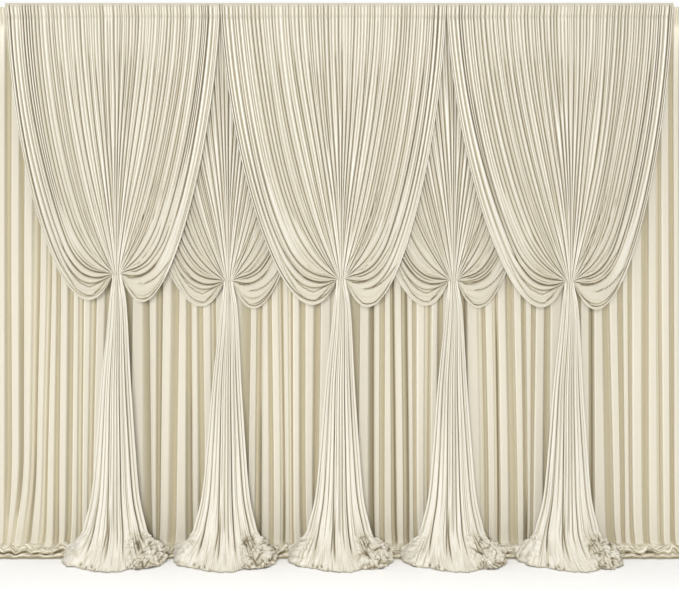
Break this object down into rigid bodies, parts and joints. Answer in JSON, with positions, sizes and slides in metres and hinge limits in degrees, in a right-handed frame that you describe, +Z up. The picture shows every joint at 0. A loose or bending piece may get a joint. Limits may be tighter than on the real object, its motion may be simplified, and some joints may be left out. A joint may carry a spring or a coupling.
{
  "type": "swagged backdrop curtain",
  "caption": "Ivory backdrop curtain: gathered swags drawn in at half height, their tails spread on the floor, over straight gathered panels, all on rod pockets.",
  "frame": {"origin": "top edge of the front row of rod pockets, at the middle of the hanging", "axes": "+X along the rods to the viewer's right, +Z up, the swagged front faces -Y"},
  "size_m": [3.497, 0.4384, 2.7675],
  "materials": {
    "swag_cloth": "smooth ivory stretch knit with a soft satin sheen",
    "plain_cloth": "smooth ivory stretch knit with a soft satin sheen, gathered"
  },
  "bodies": {
    "root": {"swag_1": "swag_cloth", "swag_2": "swag_cloth", "swag_3": "swag_cloth", "swag_4": "swag_cloth", "swag_5": "swag_cloth", "plain_1": "plain_cloth", "plain_2": "plain_cloth", "plain_3": "plain_cloth", "pocket_swag_1": "swag_cloth", "pocket_swag_2": "swag_cloth", "pocket_swag_3": "swag_cloth", "pocket_swag_4": "swag_cloth", "pocket_swag_5": "swag_cloth", "pocket_plain_1": "plain_cloth", "pocket_plain_2": "plain_cloth", "pocket_plain_3": "plain_cloth"}
  },
  "joints": []
}
